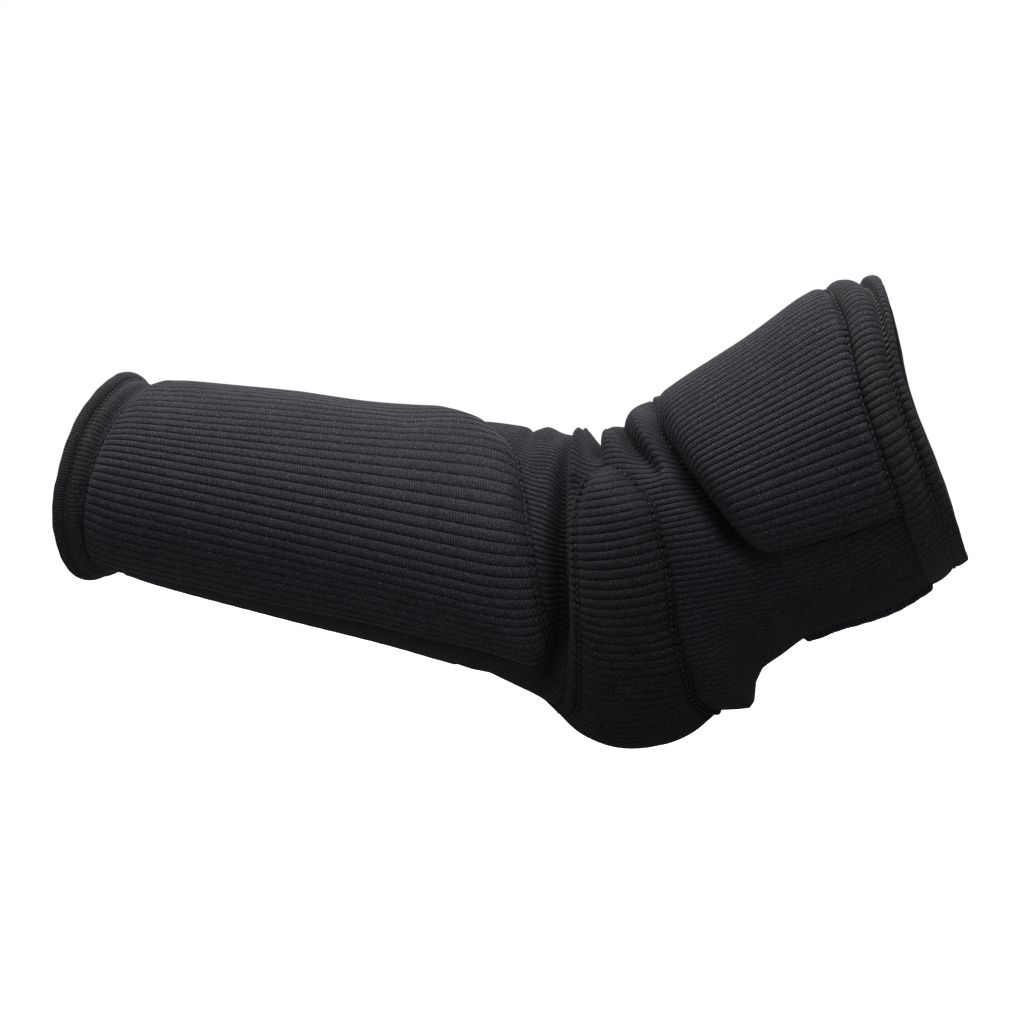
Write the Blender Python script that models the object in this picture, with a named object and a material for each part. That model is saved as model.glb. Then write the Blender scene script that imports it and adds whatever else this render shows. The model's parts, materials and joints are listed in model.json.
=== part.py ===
"""Padded rib-knit elbow sleeve: a bent knit tube with three stitched-on foam pads.

The elbow point hangs down, the forearm runs to -X and the upper arm to +X and up. Every object's
own origin is on the bend axis, which runs along Y, and the world origin is the centre of the whole
sleeve's box. Every shape is laid out in sleeve coordinates: a station s along the arm, an angle phi
around it (0 faces -Y, 90 is the crook side, -90 the elbow-point side), and a height h above the
inner face of the sleeve.
"""
import math
from typing import NamedTuple

import bmesh
import bpy
from mathutils import Vector

MM = 0.001

# Arm layout, in millimetres and degrees.
FOREARM_RISE = 9.5         # the forearm axis climbs this much towards the wrist
UPPER_RISE = 29.5          # the upper-arm axis climbs this much towards the shoulder
BEND_TANGENT = 40.0        # where the axis starts to curve, from where its two lines meet
PIVOT_X = 10.0             # the bend axis, from where the two lines of the arm's axis meet
PIVOT_Z = 2.0
WRIST_END = -219.5
UPPER_END = 141.0
MOUTH_TILT = 12.0          # the upper mouth leans back towards upright
TILT_FROM = 60.0           # station where that lean begins

# Cloth and foam thicknesses.
SLEEVE_WALL = 1.2
COVER_WALL = 0.8
CLOTH_GAP = 0.5            # between the sleeve and what is sewn on it
SEW_GAP = 0.3              # between pieces that touch on the real sleeve
ON_SLEEVE = SLEEVE_WALL + CLOTH_GAP
PAD_EDGE = 2.5             # foam thickness along its outline
FLANGE = 3.0               # flat sewn border of a cover
COVER_SLOPE = 2.0          # run from the flange up to the foam's edge
THREAD_RADIUS = 0.35

# Hem folds at the two mouths.
WRIST_HEM = 14.0           # length of the wrist hem
UPPER_HEM = 17.0           # length of the upper hem
HEM_WALL = 0.8
ELASTIC = 1.0              # elastic thickness
BINDING_WIDTH = 4.3
BINDING_WALL = 0.8
SEAM_HALF_ANGLE = 3.5      # half width of an overlocked seam, in degrees around the sleeve
SEAM_HEIGHT = 1.6

COLUMNS = 24               # facets around the sleeve
COLUMN = 360.0 / COLUMNS

CHARCOAL = (0.030, 0.032, 0.040, 1.0)
BLACK_KNIT = (0.020, 0.021, 0.027, 1.0)
THREAD_BLACK = (0.045, 0.046, 0.055, 1.0)
FOAM_GREY = (0.090, 0.090, 0.095, 1.0)
RUBBER_WHITE = (0.520, 0.510, 0.490, 1.0)


class Section(NamedTuple):
    """Inner face of the sleeve at one station: heights over and under the axis, and half width."""
    s: float
    top: float
    bottom: float
    side: float


SECTIONS = (
    Section(WRIST_END, 42.0, 41.0, 37.5),
    Section(-206.0, 39.0, 37.4, 34.0),
    Section(-190.0, 39.0, 38.2, 33.0),
    Section(-130.0, 41.3, 41.5, 34.0),
    Section(-66.0, 44.5, 44.5, 36.5),
    Section(-30.0, 46.5, 48.5, 38.5),
    Section(0.0, 48.5, 60.0, 40.0),
    Section(34.0, 47.5, 56.5, 42.0),
    Section(60.0, 44.5, 58.5, 43.5),
    Section(102.0, 44.5, 64.5, 44.5),
    Section(UPPER_END, 46.5, 63.5, 46.5),
)


class Pad(NamedTuple):
    """One foam pad: its reach around the sleeve, its end stations, and its form."""
    name: str
    phi_from: float
    phi_to: float
    low: object            # start station of the foam, as a function of phi
    high: object           # end station of the foam, as a function of phi
    thickness: float
    rows: int
    corner: float          # how far the ends draw in at the corners


def clamp(value, low, high):
    return max(low, min(high, value))


def ease(t):
    """Smooth step from 0 to 1."""
    t = clamp(t, 0.0, 1.0)
    return t * t * (3.0 - 2.0 * t)


def blend(start, end, t):
    return start + (end - start) * t


def section_at(s):
    """The section at a station, eased between the two nearest ones."""
    s = clamp(s, WRIST_END, UPPER_END)
    for before, after in zip(SECTIONS, SECTIONS[1:]):
        if s <= after.s:
            break
    t = (s - before.s) / (after.s - before.s)
    t = blend(t, ease(t), 0.5)
    return Section(s, *(blend(a, b, t) for a, b in zip(before[1:], after[1:])))


def spine(s):
    """Centre of the section at a station, and the direction of its plane's upward side."""
    half_turn = math.radians((FOREARM_RISE + UPPER_RISE) / 2.0)
    radius = BEND_TANGENT / math.tan(half_turn)
    middle = math.radians((180.0 - FOREARM_RISE + UPPER_RISE) / 2.0)
    turn = clamp(s / radius, -half_turn, half_turn)
    straight = s - turn * radius
    reach = radius / math.cos(half_turn)
    heading = middle - math.pi / 2.0 + turn
    x = reach * math.cos(middle) + radius * math.sin(heading) + straight * math.cos(heading)
    z = reach * math.sin(middle) - radius * math.cos(heading) + straight * math.sin(heading)
    lean = math.radians(MOUTH_TILT) * ease((s - TILT_FROM) / (UPPER_END - TILT_FROM))
    up = heading - lean + math.pi / 2.0
    return x, z, math.cos(up), math.sin(up)


def point(s, phi, h):
    """Position from the bend axis, in metres, of a place in sleeve coordinates."""
    x, z, up_x, up_z = spine(s)
    section = section_at(s)
    angle = math.radians(phi)
    rise = math.sin(angle)
    tall = (section.top if rise > 0.0 else section.bottom) + h
    wide = section.side + h
    return Vector((x + up_x * tall * rise - PIVOT_X, -wide * math.cos(angle),
                   z + up_z * tall * rise - PIVOT_Z)) * MM


def edge(*knots):
    """A slanting edge: its station for any phi, from (degrees up the side, station) knots."""
    levels = [(math.sin(math.radians(angle)), station) for angle, station in knots]

    def station(phi):
        level = math.sin(math.radians(phi))
        for (low, before), (high, after) in zip(levels, levels[1:]):
            if level <= high:
                break
        return blend(before, after, clamp((level - low) / (high - low), 0.0, 1.0))
    return station


# Edges that slant around the sleeve: cloth between bodies, and the outlines of the covers.
FOREARM_CUT = edge((-90, -44.0), (-50, -30.0), (0, -23.0), (35, -27.0), (90, -62.0))
UPPER_CUT = edge((-90, 58.0), (0, 58.0), (90, 52.0))
FOREARM_COVER_END = edge((-90, -30.0), (-50, -24.0), (-30, -18.0), (20, -18.0), (36, -24.0),
                         (56, -34.0), (72, -49.0), (90, -62.0))
ELBOW_COVER_LOW = edge((-90, -24.0), (-48, -8.0), (-16, -1.0), (6, 3.0), (34, 8.0))
ELBOW_COVER_HIGH = edge((-90, 25.0), (-56, 24.0), (-30, 29.0), (-8, 37.0), (12, 43.0), (34, 39.0))
UPPER_COVER_START = edge((-25, 63.0), (8, 59.0), (34, 55.0), (60, 52.0), (90, 50.0))


def paint(obj, colour, roughness):
    material = bpy.data.materials.new(obj.name)
    material.use_nodes = True
    shader = material.node_tree.nodes["Principled BSDF"]
    shader.inputs["Base Color"].default_value = colour
    shader.inputs["Roughness"].default_value = roughness
    shader.inputs["Metallic"].default_value = 0.0
    obj.data.materials.append(material)


def add_object(name, data, colour, roughness):
    obj = bpy.data.objects.new(name, data)
    bpy.context.scene.collection.objects.link(obj)
    paint(obj, colour, roughness)
    return obj


def mesh_object(name, bm, colour, roughness):
    """A closed mesh with its faces turned outwards and shaded smooth."""
    bmesh.ops.recalc_face_normals(bm, faces=bm.faces)
    mesh = bpy.data.meshes.new(name)
    bm.to_mesh(mesh)
    bm.free()
    mesh.shade_smooth()
    return add_object(name, mesh, colour, roughness)


def net(bm, rows, wrap_rows, wrap_columns):
    """Triangles over a net of vertices, always along the same diagonal so that layers nest."""
    last_row = len(rows) if wrap_rows else len(rows) - 1
    last_column = len(rows[0]) if wrap_columns else len(rows[0]) - 1
    for i in range(last_row):
        here, after = rows[i], rows[(i + 1) % len(rows)]
        for j in range(last_column):
            k = (j + 1) % len(here)
            bm.faces.new((here[j], here[k], after[k]))
            bm.faces.new((here[j], after[k], after[j]))


def rows_of(bm, places):
    return [[bm.verts.new(point(*place)) for place in row] for row in places]


def shell(name, places, inner, outer, wrap, colour, roughness):
    """A wall over a net of (s, phi) places, between two heights given for each place."""
    bm = bmesh.new()
    skins = [
        rows_of(bm, [[(s, phi, height(i, j)) for j, (s, phi) in enumerate(row)]
                     for i, row in enumerate(places)])
        for height in (inner, outer)
    ]
    for rows in skins:
        net(bm, rows, False, wrap)
    for edge in (0, -1):
        net(bm, [rows[edge] for rows in skins], False, wrap)
    if not wrap:
        for edge in (0, -1):
            net(bm, [[row[edge] for row in rows] for rows in skins], False, False)
    return mesh_object(name, bm, colour, roughness)


def flat(height):
    return lambda i, j: height


def around():
    """The column angles once round the sleeve."""
    return [COLUMN * step for step in range(COLUMNS)]


def tube(name, low, high, rows, colour, roughness):
    """A length of the sleeve between two edges that may slant."""
    places = [[(blend(low(phi), high(phi), i / rows), phi) for phi in around()]
              for i in range(rows + 1)]
    return shell(name, places, flat(0.0), flat(SLEEVE_WALL), True, colour, roughness)


def turned(name, profile, colour, roughness):
    """A closed (s, h) profile carried once round the sleeve."""
    bm = bmesh.new()
    rows = rows_of(bm, [[(s, phi, h) for phi in around()] for s, h in profile])
    net(bm, rows, True, True)
    return mesh_object(name, bm, colour, roughness)


def thread(name, places):
    """A closed loop of sewing thread through (s, phi, h) places."""
    curve = bpy.data.curves.new(name, "CURVE")
    curve.dimensions = "3D"
    curve.bevel_depth = THREAD_RADIUS * MM
    curve.bevel_resolution = 0
    spline = curve.splines.new("POLY")
    spline.points.add(len(places) - 1)
    for spot, place in zip(spline.points, places):
        spot.co = (*point(*place), 1.0)
    spline.use_cyclic_u = True
    return add_object(name, curve, THREAD_BLACK, 0.75)


def pad_columns(pad):
    """The sleeve's own columns inside the pad, with the pad's two edges."""
    first = math.floor(pad.phi_from / COLUMN) + 1
    last = math.ceil(pad.phi_to / COLUMN) - 1
    return [pad.phi_from, *(COLUMN * k for k in range(first, last + 1)), pad.phi_to]


def corner_draw(pad, phi):
    """How much the ends draw in at this angle, so that the corners are round."""
    reach = 22.0
    edge = min(phi - pad.phi_from, pad.phi_to - phi)
    t = clamp(1.0 - edge / reach, 0.0, 1.0)
    return pad.corner * (1.0 - math.sqrt(1.0 - t * t))


def pad_places(pad):
    """Net of the foam's top, row by row along the sleeve."""
    def station(phi, i):
        draw = corner_draw(pad, phi)
        return blend(pad.low(phi) + draw, pad.high(phi) - draw, i / pad.rows)
    return [[(station(phi, i), phi) for phi in pad_columns(pad)] for i in range(pad.rows + 1)]


def pad_crown(pad, places):
    """Foam thickness at each place of the net."""
    columns = [phi for _, phi in places[0]]
    span = pad.phi_to - pad.phi_from

    def thickness(i, j):
        along = math.sin(math.pi * i / pad.rows)
        across = math.sin(math.pi * (columns[j] - pad.phi_from) / span)
        crown = (max(along, 0.0) * max(across, 0.0)) ** 0.35
        return blend(PAD_EDGE, pad.thickness, crown)
    return thickness


def add_foam(pad):
    places = pad_places(pad)
    crown = pad_crown(pad, places)
    return shell(f"{pad.name}_pad_foam", places, flat(ON_SLEEVE),
                 lambda i, j: ON_SLEEVE + crown(i, j), False, FOAM_GREY, 0.9)


def widened(places, steps):
    """The net with extra rows and columns, each this many millimetres outside the last."""
    outer = list(places)
    for step in steps:
        outer = [[(s - step, phi) for s, phi in outer[0]], *outer,
                 [(s + step, phi) for s, phi in outer[-1]]]
    wide = []
    for row in outer:
        for step in steps:
            (s_first, first), (s_last, last) = row[0], row[-1]
            turn = math.degrees(step / section_at(s_first).side)
            row = [(s_first, first - turn), *row, (s_last, last + turn)]
        wide.append(row)
    return wide


def add_cover(pad):
    """The knit cover: over the foam, down its sides, and flat along its sewn border."""
    places = pad_places(pad)
    crown = pad_crown(pad, places)
    border = 2
    rows, columns = len(places), len(places[0])

    def inner(i, j):
        i, j = i - border, j - border
        if 0 <= i < rows and 0 <= j < columns:
            return ON_SLEEVE + crown(i, j) + SEW_GAP
        return ON_SLEEVE
    return shell(f"{pad.name}_pad_cover", widened(places, (COVER_SLOPE, FLANGE)), inner,
                 lambda i, j: inner(i, j) + COVER_WALL, False, BLACK_KNIT, 0.85)


def loop_of(places):
    """The outline of a net, once round."""
    top, bottom = places[0], places[-1]
    right = [row[-1] for row in places[1:-1]]
    left = [row[0] for row in places[-2:0:-1]]
    return [*top, *right, *reversed(bottom), *left]


def add_cover_stitching(pad):
    """The thread along the middle of a cover's sewn border."""
    height = ON_SLEEVE + COVER_WALL + SEW_GAP + THREAD_RADIUS
    outline = loop_of(widened(pad_places(pad), (COVER_SLOPE, FLANGE / 2.0)))
    return thread(f"{pad.name}_pad_stitching", [(s, phi, height) for s, phi in outline])


def hem_profile(mouth, inward, length):
    """A folded hem in section: two walls joined at the mouth, with a channel for the elastic."""
    depth = HEM_WALL + SEW_GAP + ELASTIC + SEW_GAP
    back = mouth + inward * length
    fold = mouth + inward * HEM_WALL
    return [(mouth, 0.0), (mouth, depth + HEM_WALL), (back, depth + HEM_WALL), (back, depth),
            (fold, depth), (fold, HEM_WALL), (back, HEM_WALL), (back, 0.0)]


def add_hem(name, mouth, inward, length):
    turned(f"{name}_hem", hem_profile(mouth, inward, length), CHARCOAL, 0.85)
    near = mouth + inward * (HEM_WALL + SEW_GAP)
    far = mouth + inward * (length - SEW_GAP)
    low = HEM_WALL + SEW_GAP
    turned(f"{name}_elastic", [(near, low), (near, low + ELASTIC), (far, low + ELASTIC),
                               (far, low)], RUBBER_WHITE, 0.6)


def hem_top():
    """Height of a hem's outer face."""
    return 2.0 * HEM_WALL + ELASTIC + 2.0 * SEW_GAP


def add_ring_stitching(name, station):
    height = hem_top() + SEW_GAP + THREAD_RADIUS
    return thread(name, [(station, phi, height) for phi in around()])


def add_binding():
    """The narrow band that edges the wrist mouth."""
    low = hem_top() + SEW_GAP
    near, far = WRIST_END, WRIST_END + BINDING_WIDTH
    turned("wrist_binding", [(near, low), (near, low + BINDING_WALL), (far, low + BINDING_WALL),
                             (far, low)], CHARCOAL, 0.85)


def add_seam(name, low, high, rows):
    """An overlocked seam standing proud along the elbow-point side."""
    angles = [-90.0 - SEAM_HALF_ANGLE, -90.0, -90.0 + SEAM_HALF_ANGLE]
    places = [[(blend(low, high, i / rows), phi) for phi in angles] for i in range(rows + 1)]
    return shell(name, places, flat(ON_SLEEVE),
                 lambda i, j: ON_SLEEVE + SEAM_HEIGHT * (1.0 if j == 1 else 0.6), False,
                 THREAD_BLACK, 0.8)


def pads():
    """The three pads; their foam lies inside the outline of its cover by the sewn border."""
    border = COVER_SLOPE + FLANGE
    cover_start = WRIST_END + WRIST_HEM + 2.0 * SEW_GAP
    cover_end = UPPER_END - UPPER_HEM - 2.0 * SEW_GAP
    return (
        Pad("forearm", -47.0, 105.0, lambda phi: cover_start + border,
            lambda phi: FOREARM_COVER_END(phi) - border, 7.5, 9, 6.0),
        Pad("elbow", -210.0, 30.0, lambda phi: ELBOW_COVER_LOW(phi) + border,
            lambda phi: ELBOW_COVER_HIGH(phi) - border, 9.0, 8, 9.0),
        Pad("upper_arm", -22.0, 105.0, lambda phi: UPPER_COVER_START(phi) + border,
            lambda phi: cover_end - border, 7.0, 6, 7.0),
    )


def add_sleeves():
    wrist_edge = WRIST_END + WRIST_HEM + SEW_GAP
    upper_edge = UPPER_END - UPPER_HEM - SEW_GAP
    tube("forearm_sleeve", lambda phi: wrist_edge, FOREARM_CUT, 8, BLACK_KNIT, 0.85)
    tube("elbow_stretch_knit", lambda phi: FOREARM_CUT(phi) + SEW_GAP,
         lambda phi: UPPER_CUT(phi) - SEW_GAP, 12, CHARCOAL, 0.85)
    tube("upper_sleeve", UPPER_CUT, lambda phi: upper_edge, 6, BLACK_KNIT, 0.85)


def centre_on_origin():
    """Moves every piece alike, so that the middle of the whole sleeve's box is the origin."""
    bpy.context.view_layer.update()
    corners = [Vector(corner) for obj in bpy.context.scene.collection.objects
               for corner in obj.bound_box]
    middle = Vector((max(c[k] for c in corners) + min(c[k] for c in corners)) / 2.0
                    for k in range(3))
    for obj in bpy.context.scene.collection.objects:
        obj.location = -middle


def build():
    for old in list(bpy.data.objects):
        bpy.data.objects.remove(old)
    add_sleeves()
    add_hem("wrist", WRIST_END, 1.0, WRIST_HEM)
    add_hem("upper", UPPER_END, -1.0, UPPER_HEM)
    add_binding()
    add_ring_stitching("wrist_hem_stitching", WRIST_END + BINDING_WIDTH + 2.0)
    add_ring_stitching("upper_hem_stitching", UPPER_END - 6.5)
    for pad in pads():
        add_foam(pad)
        add_cover(pad)
        add_cover_stitching(pad)
    add_seam("forearm_seam", WRIST_END + WRIST_HEM + 2.0, -50.0, 8)
    add_seam("upper_seam", 72.0, UPPER_END - UPPER_HEM - 2.0, 4)
    centre_on_origin()


build()
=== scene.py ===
"""Looks of the padded rib-knit elbow sleeve: knit cloth, pads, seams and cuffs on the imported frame.

Every surface is laid out in sleeve coordinates, anchored on the bend joint of the record: a station
s along the arm in millimetres, an angle phi round it in degrees (0 faces -Y, 90 is the crook, -90
the elbow point), and a height h in millimetres over the inner face of the sleeve.
"""
import json
import math
from dataclasses import dataclass

import bpy
import numpy as np
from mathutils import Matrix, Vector


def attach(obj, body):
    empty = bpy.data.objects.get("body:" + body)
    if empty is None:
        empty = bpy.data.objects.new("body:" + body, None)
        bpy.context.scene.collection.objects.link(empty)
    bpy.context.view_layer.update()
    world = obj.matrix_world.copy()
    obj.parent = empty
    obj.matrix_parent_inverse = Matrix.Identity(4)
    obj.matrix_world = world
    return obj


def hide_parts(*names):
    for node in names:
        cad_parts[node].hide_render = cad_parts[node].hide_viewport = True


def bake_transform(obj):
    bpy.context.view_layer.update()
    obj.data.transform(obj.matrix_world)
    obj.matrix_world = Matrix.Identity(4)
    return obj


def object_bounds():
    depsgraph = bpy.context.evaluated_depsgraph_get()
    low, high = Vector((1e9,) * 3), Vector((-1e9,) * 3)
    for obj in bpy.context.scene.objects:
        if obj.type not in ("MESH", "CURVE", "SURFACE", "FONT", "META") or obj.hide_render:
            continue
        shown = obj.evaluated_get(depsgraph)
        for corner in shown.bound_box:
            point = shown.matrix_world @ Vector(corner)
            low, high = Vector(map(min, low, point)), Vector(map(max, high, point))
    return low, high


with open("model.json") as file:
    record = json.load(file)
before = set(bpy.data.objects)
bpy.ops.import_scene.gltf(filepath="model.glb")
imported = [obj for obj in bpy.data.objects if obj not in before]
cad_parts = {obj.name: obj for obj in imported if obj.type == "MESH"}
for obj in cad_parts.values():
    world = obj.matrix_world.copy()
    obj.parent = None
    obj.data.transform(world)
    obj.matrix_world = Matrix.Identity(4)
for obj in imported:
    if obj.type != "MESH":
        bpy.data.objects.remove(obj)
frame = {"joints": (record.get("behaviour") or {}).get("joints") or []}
CAD_BOX = [list(corner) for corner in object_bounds()]

MM = 0.001
PIVOT = np.array(frame["joints"][0]["pos_m"])

# The arm's line, in the sizes of the frame: two straight lengths that would meet in a corner at
# station 0, and a round bend between them.
FOREARM_RISE = 9.5  # degrees by which the forearm points up, away from the corner
UPPER_RISE = 29.5  # the same for the upper arm
BEND_TANGENT = 40.0  # from the corner to either end of the bend
PIVOT_X, PIVOT_Z = 10.0, 2.0  # the bend joint, seen from the corner
WRIST_END, UPPER_END = -219.5, 141.0
MOUTH_TILT = 12.0  # degrees by which the upper mouth leans
TILT_FROM = 60.0  # station where its lean begins
MEETING = 13.0  # station where the two lengths of knit meet, in a fold of the crook

# Station, height over and under the axis, and half width of the sleeve's inner face.
SECTIONS = np.array([
    (WRIST_END, 43.2, 39.3, 37.5),
    (-206.0, 40.2, 36.8, 34.0),
    (-190.0, 39.3, 38.2, 33.0),
    (-130.0, 41.3, 41.5, 34.0),
    (-66.0, 44.5, 44.5, 36.5),
    (-30.0, 46.5, 48.5, 38.5),
    (0.0, 48.5, 60.0, 40.0),
    (34.0, 47.5, 56.5, 42.0),
    (60.0, 44.5, 58.5, 43.5),
    (102.0, 44.5, 64.5, 44.5),
    (UPPER_END, 46.5, 63.5, 46.5),
])

KNIT_TOP = 1.2  # outer face of the plain knit
LINING = -0.4  # inner face that shows through the mouths
MM_PER_DEGREE = math.radians(44.0)  # round the sleeve, at its mean radius of 44 mm

# One rib across: position in the pitch, and depth below the rib's crest.
RIB_OFFSETS = np.array([0.0, 0.08, 0.18, 0.5, 0.82, 0.92])
RIB_DEPTHS = np.array([1.0, 0.45, 0.06, 0.0, 0.06, 0.45])


# ---------------- formulas

def smoothstep(t):
    t = np.clip(t, 0.0, 1.0)
    return t * t * (3.0 - 2.0 * t)


def fade_in(x, start, run):
    """0 up to a start, then smoothly up to 1 over a run; a negative run goes the other way."""
    return smoothstep((x - start) / run)


def bell(x, middle, width):
    """1 in the middle, and smoothly down to nothing some widths away."""
    return np.exp(-((x - middle) / width) ** 2)


def half_round(u):
    """Height of a half circle over a place from -1 to 1 across it."""
    return np.sqrt(np.clip(1.0 - u ** 2, 0.0, 1.0))


def spaced(start, end, step):
    """Even stations from start to end, about a step apart."""
    return np.linspace(start, end, max(2, int(round(abs(end - start) / step)) + 1))


def reaches(points):
    """Distance along a path to each of its points."""
    steps = np.linalg.norm(np.diff(points, axis=0), axis=1)
    return np.concatenate([[0.0], np.cumsum(steps)])


def unit(vectors):
    return vectors / np.linalg.norm(vectors, axis=-1, keepdims=True)


def curve(x, knots):
    """Smooth curve through (x, value) knots, flat beyond the ends."""
    xs, ys = np.array(knots, float).T
    slopes = np.gradient(ys, xs)
    slopes[0] = slopes[-1] = 0.0
    x = np.clip(x, xs[0], xs[-1])
    i = np.clip(np.searchsorted(xs, x, side="right") - 1, 0, len(xs) - 2)
    span = xs[i + 1] - xs[i]
    t = (x - xs[i]) / span
    t2, t3 = t * t, t * t * t
    return ((2 * t3 - 3 * t2 + 1) * ys[i] + (t3 - 2 * t2 + t) * span * slopes[i]
            + (3 * t2 - 2 * t3) * ys[i + 1] + (t3 - t2) * span * slopes[i + 1])


def line(x, knots):
    """Straight pieces through (x, value) knots."""
    xs, ys = np.array(knots, float).T
    return np.interp(x, xs, ys)


# ---------------- sleeve coordinates

def section(s):
    return [curve(s, SECTIONS[:, (0, k)]) for k in (1, 2, 3)]


def spine(s):
    """Centre of the section at a station, and the upward direction in its plane."""
    half_turn = math.radians((FOREARM_RISE + UPPER_RISE) / 2.0)
    radius = BEND_TANGENT / math.tan(half_turn)
    middle = math.radians((180.0 - FOREARM_RISE + UPPER_RISE) / 2.0)
    turn = np.clip(s / radius, -half_turn, half_turn)
    straight = s - turn * radius
    reach = radius / math.cos(half_turn)
    heading = middle - math.pi / 2.0 + turn
    x = reach * math.cos(middle) + radius * np.sin(heading) + straight * np.cos(heading)
    z = reach * math.sin(middle) - radius * np.cos(heading) + straight * np.sin(heading)
    lean = math.radians(MOUTH_TILT) * fade_in(s, TILT_FROM, UPPER_END - TILT_FROM)
    up = heading - lean + math.pi / 2.0
    return x - PIVOT_X, z - PIVOT_Z, np.cos(up), np.sin(up)


# How far the rims of the two mouths slide along the arm, in millimetres, as they aren't cut square.
WRIST_LEAN = 2.0  # the crook side against the elbow side
WRIST_BOW = 2.2  # both of those against the flanks
UPPER_TURN = 1.8  # the far side against the near side
UPPER_DIP = 3.0  # the middle of each flank


def mouth_shift(s, phi):
    """How far a place near a mouth slides along the arm with the mouth's rim."""
    angle = np.radians(phi)
    wrist = WRIST_BOW * np.sin(angle) ** 2 + WRIST_LEAN * np.sin(angle)
    upper = UPPER_TURN - UPPER_TURN * np.cos(angle) + UPPER_DIP * bell(near_angle(phi), 6.0, 26.0)
    return wrist * fade_in(s, -192.0, -22.0) - upper * fade_in(s, 104.0, 34.0)


def place(s, phi, h):
    """World position, in metres, of a place in sleeve coordinates."""
    s, phi, h = np.broadcast_arrays(*(np.asarray(v, float) for v in (s, phi, h)))
    s = s + mouth_shift(s, phi)
    x, z, up_x, up_z = spine(s)
    top, bottom, side = section(s)
    angle = np.radians(phi)
    rise = np.sin(angle)
    tall = np.where(rise > 0.0, top, bottom) + h
    spot = np.stack([x + up_x * tall * rise, -(side + h) * np.cos(angle), z + up_z * tall * rise],
                    axis=-1)
    return PIVOT + spot * MM


def near_angle(phi):
    """The angle folded onto the near side, because both sides of the sleeve are alike."""
    return 90.0 - np.abs((np.asarray(phi, float) + 90.0) % 360.0 - 180.0)


# ---------------- folds of the plain knit

CREASE_POWER = 1.7  # a crease's sides are a little sharper than a bell's


def crease(s, phi, knots, width):
    """A ridge or a valley along (s, phi, height) knots, fading over a width in millimetres."""
    best = np.full(np.shape(s), np.inf)
    height = np.zeros(np.shape(s))
    for (s0, phi0, h0), (s1, phi1, h1) in zip(knots, knots[1:]):
        run = np.array([s1 - s0, (phi1 - phi0) * MM_PER_DEGREE])
        along, around = s - s0, (phi - phi0) * MM_PER_DEGREE
        t = np.clip((along * run[0] + around * run[1]) / (run @ run), 0.0, 1.0)
        distance = np.hypot(along - t * run[0], around - t * run[1])
        nearer = distance < best
        best = np.where(nearer, distance, best)
        height = np.where(nearer, h0 + (h1 - h0) * t, height)
    return height * np.exp(-(best / width) ** CREASE_POWER)


# Each fold of the near side: its knots as (s, phi, height), and its width.
FOLDS = (
    # valley beside the elbow pad, on its forearm side
    (((3.0, 95.0, -0.5), (0.5, 66.0, -4.5), (-4.0, 30.0, -8.0), (-9.5, -28.0, -9.5),
      (-16.0, -56.0, -5.0), (-20.0, -72.0, -1.0)), 3.8),
    # ridge that carries the pad's rolled border up into the crook
    (((6.0, 95.0, 3.9), (7.5, 84.0, 5.0), (8.5, 74.0, 5.8), (7.0, 56.0, 5.0), (6.0, 42.0, 3.5)),
     4.2),
    # hollow of the crook
    (((12.8, 95.0, -23.0), (13.8, 86.0, -21.0), (15.6, 74.0, -17.0), (18.5, 58.0, -9.0),
      (21.5, 44.0, -1.0)), 4.4),
    # ridge behind the hollow
    (((27.0, 95.0, -4.5), (27.0, 72.0, -2.2), (26.5, 56.0, 0.8), (25.0, 44.0, 0.6)), 4.4),
    # groove before the last ridge, down to the corner of the elbow pad
    (((34.5, 95.0, -2.5), (36.0, 76.0, -5.0), (38.0, 62.0, -7.5), (40.5, 48.0, -6.5),
      (45.0, 30.0, -3.5)), 3.8),
    # last ridge, against the upper pad
    (((44.5, 95.0, 1.0), (45.0, 84.0, 2.0), (45.5, 72.0, 3.0), (46.5, 56.0, 4.2),
      (47.5, 46.0, 4.0), (50.0, 24.0, 2.0)), 5.0),
    # its top, flush with the upper pad
    (((50.6, 95.0, 4.9), (50.8, 86.0, 4.5), (51.0, 76.0, 1.2)), 5.2),
    # shadow line along the upper pad's edge
    (((53.0, 92.0, 0.0), (53.0, 76.0, -3.5), (52.5, 56.0, -6.5), (55.0, 20.0, -8.5),
      (59.0, -14.0, -8.5), (65.0, -28.0, -2.5)), 4.0),
    # fullness between the forearm pad and the valley
    (((-22.0, 92.0, 2.5), (-14.0, 60.0, 2.0), (-9.0, 36.0, 0.5)), 9.0),
    # soft wrinkle across the top, on the forearm side
    (((-34.0, 92.0, -1.5), (-28.0, 70.0, -1.2), (-20.0, 50.0, -0.4)), 3.0),
)

# How far the elbow point hangs off the even surface, with the pointed fold behind the elbow pad.
ELBOW_HANG = ((-42.0, 0.0), (-36.0, -1.0), (-30.0, 0.3), (-24.0, 2.0), (-20.0, 3.2),
              (-12.0, 4.5), (-3.0, 5.3), (7.0, 6.2), (15.0, 8.5), (20.0, 10.0), (25.0, 12.4),
              (31.0, 16.3), (32.6, 15.0), (34.0, 10.0), (38.0, 5.4), (47.0, 3.4), (60.0, 0.0))
# How far the crook side of the sleeve stands off the even surface.
CROOK_FULLNESS = ((-200.0, 0.0), (-180.0, 1.4), (-140.0, 2.5), (-100.0, 2.0), (-82.0, 3.0),
                  (-66.0, 5.4), (-50.0, 6.4), (-30.0, 4.6), (-12.0, 1.6), (2.0, 0.0),
                  (46.0, 0.0), (56.0, -3.2), (75.0, -2.8), (95.0, -1.6), (115.0, 1.4),
                  (128.0, 0.3), (141.0, 0.0))

HANG_WIDTH = 34.0  # degrees over which the hang fades round the sleeve
CROOK_WIDTH = 42.0  # the same for the crook side's fullness
SHOULDER = 3.2  # how far the upper arm stands out between its flanks and the crook


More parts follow.
